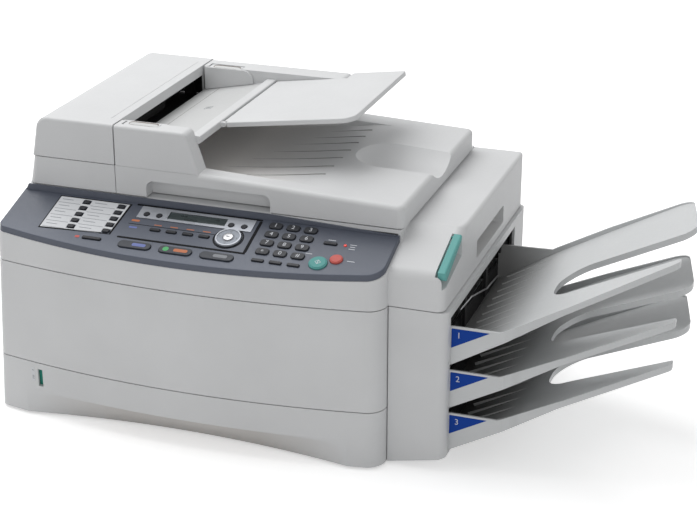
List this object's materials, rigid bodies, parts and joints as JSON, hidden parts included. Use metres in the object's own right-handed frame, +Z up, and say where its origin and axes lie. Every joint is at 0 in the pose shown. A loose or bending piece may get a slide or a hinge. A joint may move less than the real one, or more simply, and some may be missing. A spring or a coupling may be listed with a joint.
{
  "type": "laser fax machine",
  "caption": "Desktop laser fax and copier with a flatbed under a document feeder, a sloped key panel, a paper drawer and stepped output trays at the right side.",
  "frame": {"origin": "centre of the bounding box's bottom face, on the surface that the feet stand on", "axes": "+X to the right towards the output trays, +Y to the back, +Z up; the drawer and key panel face -Y"},
  "size_m": [0.7128, 0.358, 0.3272],
  "materials": {
    "casing": "fine moulded texture",
    "tray_grey": "fine moulded texture",
    "panel_blue_grey": "satin",
    "silver": "silver lacquer",
    "key_black": "satin",
    "key_grey": "satin",
    "teal": "satin",
    "red": "satin",
    "black_plastic": "matte",
    "sheet_metal": "zinc plated",
    "steel": "plated",
    "rubber": "matte",
    "glass": "clear",
    "board_green": "satin",
    "socket_black": "matte",
    "pad_white": "matte"
  },
  "bodies": {
    "base": {"base_frame": "sheet_metal", "left_cover": "casing", "rear_cover": "casing", "front_cover": "casing", "right_column": "casing", "exit_panel": "black_plastic", "output_tray_top": "tray_grey", "output_tray_middle": "tray_grey", "output_tray_bottom": "tray_grey", "rubber_feet": "rubber", "case_screws": "steel", "toner_cartridge": "black_plastic", "fuser_unit": "black_plastic", "laser_unit": "black_plastic", "main_board": "board_green", "rear_sockets": "socket_black", "top_hinge_pins": "steel"},
    "cassette": {"cassette_front": "casing", "cassette_bin": "black_plastic"},
    "top_unit": {"top_shell": "casing", "control_panel": "panel_blue_grey", "display_bezel": "silver", "scanner_glass": "glass", "lid_hinge_pins": "steel"},
    "lid": {"document_cover": "casing", "backing_pad": "pad_white"},
    "pickup_roller_body": {"pickup_roller": "rubber"},
    "exit_roller_top_body": {"exit_roller_top": "rubber"},
    "exit_roller_middle_body": {"exit_roller_middle": "rubber"},
    "exit_roller_bottom_body": {"exit_roller_bottom": "rubber"},
    "exit_flag_body": {"exit_flag": "black_plastic"},
    "lift_plate_body": {"lift_plate": "sheet_metal"},
    "level_flag_body": {"level_flag": "teal"},
    "release_lever_body": {"release_lever": "teal"},
    "scan_carriage_body": {"scan_carriage": "black_plastic"},
    "adf_cover_body": {"adf_cover": "casing"},
    "feed_roller_body": {"feed_roller": "rubber"},
    "paper_guide_front_body": {"paper_guide_front": "casing"},
    "paper_guide_rear_body": {"paper_guide_rear": "casing"},
    "document_tray_body": {"document_tray": "casing"},
    "dial_key_one_body": {"dial_key_one": "key_black"},
    "dial_key_two_body": {"dial_key_two": "key_black"},
    "dial_key_three_body": {"dial_key_three": "key_black"},
    "dial_key_four_body": {"dial_key_four": "key_black"},
    "dial_key_five_body": {"dial_key_five": "key_black"},
    "dial_key_six_body": {"dial_key_six": "key_black"},
    "dial_key_seven_body": {"dial_key_seven": "key_black"},
    "dial_key_eight_body": {"dial_key_eight": "key_black"},
    "dial_key_nine_body": {"dial_key_nine": "key_black"},
    "dial_key_star_body": {"dial_key_star": "key_black"},
    "dial_key_zero_body": {"dial_key_zero": "key_black"},
    "dial_key_hash_body": {"dial_key_hash": "key_black"},
    "start_key_body": {"start_key": "teal"},
    "stop_key_body": {"stop_key": "red"},
    "navigator_key_body": {"navigator_key": "silver"},
    "mode_key_left_body": {"mode_key_left": "key_grey"},
    "mode_key_middle_body": {"mode_key_middle": "key_grey"},
    "mode_key_right_body": {"mode_key_right": "key_grey"},
    "one_touch_keys_body": {"one_touch_keys": "key_black"},
    "function_keys_body": {"function_keys": "key_black"}
  },
  "joints": [
    {"name": "drawer_slide", "type": "slide", "parent": "base", "child": "cassette", "axis": [0, -1, 0], "range_m": [0, 0.25]},
    {"name": "lift_plate_hinge", "type": "hinge", "parent": "cassette", "child": "lift_plate_body", "pos_m": [0.0439, 0, 0.0113], "axis": [0, 1, 0], "range_deg": [0, 8]},
    {"name": "level_flag_slide", "type": "slide", "parent": "cassette", "child": "level_flag_body", "axis": [0, 0, -1], "range_m": [0, 0.01]},
    {"name": "top_unit_hinge", "type": "hinge", "parent": "base", "child": "top_unit", "pos_m": [-0.34118, 0, 0.1765], "axis": [0, -1, 0], "range_deg": [0, 40]},
    {"name": "release_lever_hinge", "type": "hinge", "parent": "top_unit", "child": "release_lever_body", "pos_m": [0.13165, -0.0805, 0.23285], "axis": [-1, 0, 0], "range_deg": [0, 15], "stiffness_Nm_per_rad": 0.6},
    {"name": "scan_carriage_slide", "type": "slide", "parent": "top_unit", "child": "scan_carriage_body", "axis": [1, 0, 0], "range_m": [0, 0.3]},
    {"name": "lid_hinge", "type": "hinge", "parent": "top_unit", "child": "lid", "pos_m": [-0.1376, 0.1695, 0.2456], "axis": [-1, 0, 0], "range_deg": [0, 75]},
    {"name": "adf_cover_hinge", "type": "hinge", "parent": "lid", "child": "adf_cover_body", "pos_m": [-0.3296, 0, 0.273], "axis": [0, -1, 0], "range_deg": [0, 70]},
    {"name": "feed_roller_spin", "type": "hinge", "parent": "lid", "child": "feed_roller_body", "pos_m": [-0.2616, 0, 0.2876], "axis": [0, 1, 0], "continuous": true},
    {"name": "guide_front_slide", "type": "slide", "parent": "lid", "child": "paper_guide_front_body", "axis": [0, 1, 0], "range_m": [0, 0.045]},
    {"name": "guide_rear_slide", "type": "slide", "parent": "lid", "child": "paper_guide_rear_body", "axis": [0, -1, 0], "range_m": [0, 0.045]},
    {"name": "document_tray_hinge", "type": "hinge", "parent": "lid", "child": "document_tray_body", "pos_m": [-0.1405, 0, 0.3045], "axis": [0, -1, 0], "range_deg": [0, 65]},
    {"name": "pickup_roller_spin", "type": "hinge", "parent": "base", "child": "pickup_roller_body", "pos_m": [-0.2916, 0, 0.0765], "axis": [0, 1, 0], "continuous": true},
    {"name": "exit_roller_top_spin", "type": "hinge", "parent": "base", "child": "exit_roller_top_body", "pos_m": [0.1209, 0, 0.1385], "axis": [0, 1, 0], "continuous": true},
    {"name": "exit_roller_middle_spin", "type": "hinge", "parent": "base", "child": "exit_roller_middle_body", "pos_m": [0.1209, 0, 0.0905], "axis": [0, 1, 0], "continuous": true},
    {"name": "exit_roller_bottom_spin", "type": "hinge", "parent": "base", "child": "exit_roller_bottom_body", "pos_m": [0.1209, 0, 0.0425], "axis": [0, 1, 0], "continuous": true},
    {"name": "exit_flag_swing", "type": "hinge", "parent": "base", "child": "exit_flag_body", "pos_m": [0.1344, 0, 0.161], "axis": [0, -1, 0], "range_deg": [0, 40]},
    {"name": "dial_key_one_press", "type": "slide", "parent": "top_unit", "child": "dial_key_one_body", "axis": [0, 0.3173, -0.9483], "range_m": [0, 0.001], "stiffness_N_per_m": 400},
    {"name": "dial_key_two_press", "type": "slide", "parent": "top_unit", "child": "dial_key_two_body", "axis": [0, 0.3173, -0.9483], "range_m": [0, 0.001], "stiffness_N_per_m": 400},
    {"name": "dial_key_three_press", "type": "slide", "parent": "top_unit", "child": "dial_key_three_body", "axis": [0, 0.3173, -0.9483], "range_m": [0, 0.001], "stiffness_N_per_m": 400},
    {"name": "dial_key_four_press", "type": "slide", "parent": "top_unit", "child": "dial_key_four_body", "axis": [0, 0.3173, -0.9483], "range_m": [0, 0.001], "stiffness_N_per_m": 400},
    {"name": "dial_key_five_press", "type": "slide", "parent": "top_unit", "child": "dial_key_five_body", "axis": [0, 0.3173, -0.9483], "range_m": [0, 0.001], "stiffness_N_per_m": 400},
    {"name": "dial_key_six_press", "type": "slide", "parent": "top_unit", "child": "dial_key_six_body", "axis": [0, 0.3173, -0.9483], "range_m": [0, 0.001], "stiffness_N_per_m": 400},
    {"name": "dial_key_seven_press", "type": "slide", "parent": "top_unit", "child": "dial_key_seven_body", "axis": [0, 0.3173, -0.9483], "range_m": [0, 0.001], "stiffness_N_per_m": 400},
    {"name": "dial_key_eight_press", "type": "slide", "parent": "top_unit", "child": "dial_key_eight_body", "axis": [0, 0.3173, -0.9483], "range_m": [0, 0.001], "stiffness_N_per_m": 400},
    {"name": "dial_key_nine_press", "type": "slide", "parent": "top_unit", "child": "dial_key_nine_body", "axis": [0, 0.3173, -0.9483], "range_m": [0, 0.001], "stiffness_N_per_m": 400},
    {"name": "dial_key_star_press", "type": "slide", "parent": "top_unit", "child": "dial_key_star_body", "axis": [0, 0.3173, -0.9483], "range_m": [0, 0.001], "stiffness_N_per_m": 400},
    {"name": "dial_key_zero_press", "type": "slide", "parent": "top_unit", "child": "dial_key_zero_body", "axis": [0, 0.3173, -0.9483], "range_m": [0, 0.001], "stiffness_N_per_m": 400},
    {"name": "dial_key_hash_press", "type": "slide", "parent": "top_unit", "child": "dial_key_hash_body", "axis": [0, 0.3173, -0.9483], "range_m": [0, 0.001], "stiffness_N_per_m": 400},
    {"name": "start_key_press", "type": "slide", "parent": "top_unit", "child": "start_key_body", "axis": [0, 0.3173, -0.9483], "range_m": [0, 0.001], "stiffness_N_per_m": 400},
    {"name": "stop_key_press", "type": "slide", "parent": "top_unit", "child": "stop_key_body", "axis": [0, 0.3173, -0.9483], "range_m": [0, 0.001], "stiffness_N_per_m": 400},
    {"name": "navigator_key_press", "type": "slide", "parent": "top_unit", "child": "navigator_key_body", "axis": [0, 0.3173, -0.9483], "range_m": [0, 0.001], "stiffness_N_per_m": 400},
    {"name": "mode_key_left_press", "type": "slide", "parent": "top_unit", "child": "mode_key_left_body", "axis": [0, 0.3173, -0.9483], "range_m": [0, 0.001], "stiffness_N_per_m": 400},
    {"name": "mode_key_middle_press", "type": "slide", "parent": "top_unit", "child": "mode_key_middle_body", "axis": [0, 0.3173, -0.9483], "range_m": [0, 0.001], "stiffness_N_per_m": 400},
    {"name": "mode_key_right_press", "type": "slide", "parent": "top_unit", "child": "mode_key_right_body", "axis": [0, 0.3173, -0.9483], "range_m": [0, 0.001], "stiffness_N_per_m": 400},
    {"name": "one_touch_keys_press", "type": "slide", "parent": "top_unit", "child": "one_touch_keys_body", "axis": [0, 0.3173, -0.9483], "range_m": [0, 0.001], "stiffness_N_per_m": 400},
    {"name": "function_keys_press", "type": "slide", "parent": "top_unit", "child": "function_keys_body", "axis": [0, 0.3173, -0.9483], "range_m": [0, 0.001], "stiffness_N_per_m": 400}
  ],
  "couplings": [
    {"joint": "level_flag_slide", "follows": "lift_plate_hinge", "m_per_rad": 0.07019},
    {"joint": "guide_rear_slide", "follows": "guide_front_slide", "ratio": 1},
    {"joint": "exit_roller_middle_spin", "follows": "exit_roller_top_spin", "ratio": 1},
    {"joint": "exit_roller_bottom_spin", "follows": "exit_roller_top_spin", "ratio": 1}
  ]
}
